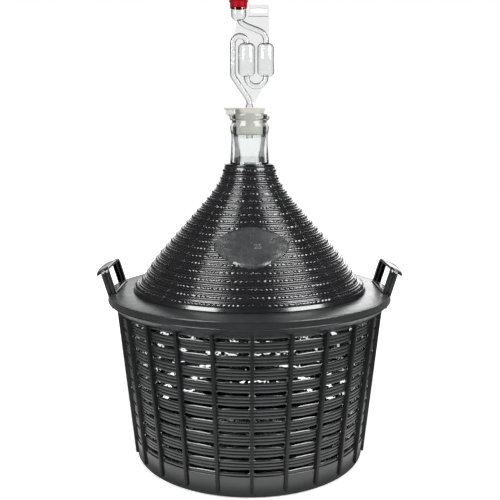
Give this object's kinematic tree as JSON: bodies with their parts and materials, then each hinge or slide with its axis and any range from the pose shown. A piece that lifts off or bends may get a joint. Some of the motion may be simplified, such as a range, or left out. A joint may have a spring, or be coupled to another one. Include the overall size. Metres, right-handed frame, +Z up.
{
  "type": "demijohn",
  "caption": "Glass demijohn in a slatted plastic basket with a ribbed conical cover, a tapered bung and a clear airlock with a cap.",
  "frame": {"origin": "centre of the basket's flat underside", "axes": "+Z up along the bottle's axis, the basket's two handles on +X and -X, the cover's plaque towards -Y"},
  "size_m": [0.4314, 0.408, 0.6484],
  "materials": {
    "basket_plastic": "black moulded polypropylene, semi-gloss",
    "collar_plastic": "black moulded polypropylene, satin",
    "cover_plastic": "black moulded polypropylene, glossy, with a rope-like relief",
    "bottle_glass": "clear pressed glass with a faint green tint",
    "bung_plastic": "off-white soft plastic, satin",
    "airlock_plastic": "clear glossy plastic",
    "cap_plastic": "red moulded plastic, semi-gloss"
  },
  "bodies": {
    "basket": {"basket": "basket_plastic"},
    "bottle": {"glass_bottle": "bottle_glass"},
    "cover": {"collar": "collar_plastic", "cover_cone": "cover_plastic"},
    "bung": {"bung": "bung_plastic"},
    "plug": {"bung_plug": "bung_plastic"},
    "airlock": {"airlock_tube": "airlock_plastic"},
    "cap": {"airlock_cap": "cap_plastic"}
  },
  "joints": [
    {"name": "bottle_lift", "type": "slide", "parent": "basket", "child": "bottle", "axis": [0, 0, 1], "range_m": [0, 0.25]},
    {"name": "cover_lift", "type": "slide", "parent": "bottle", "child": "cover", "axis": [0, 0, 1], "range_m": [0, 0.05]},
    {"name": "bung_lift", "type": "slide", "parent": "bottle", "child": "bung", "axis": [0, 0, 1], "range_m": [0, 0.06]},
    {"name": "plug_hinge", "type": "hinge", "parent": "bung", "child": "plug", "pos_m": [-0.01726, -0.0149, 0.50129], "axis": [-0.6534, 0.757, 0], "range_deg": [0, 100]},
    {"name": "airlock_lift", "type": "slide", "parent": "bung", "child": "airlock", "axis": [0, 0, 1], "range_m": [0, 0.045]},
    {"name": "cap_lift", "type": "slide", "parent": "airlock", "child": "cap", "axis": [0, 0, 1], "range_m": [0, 0.02]}
  ]
}
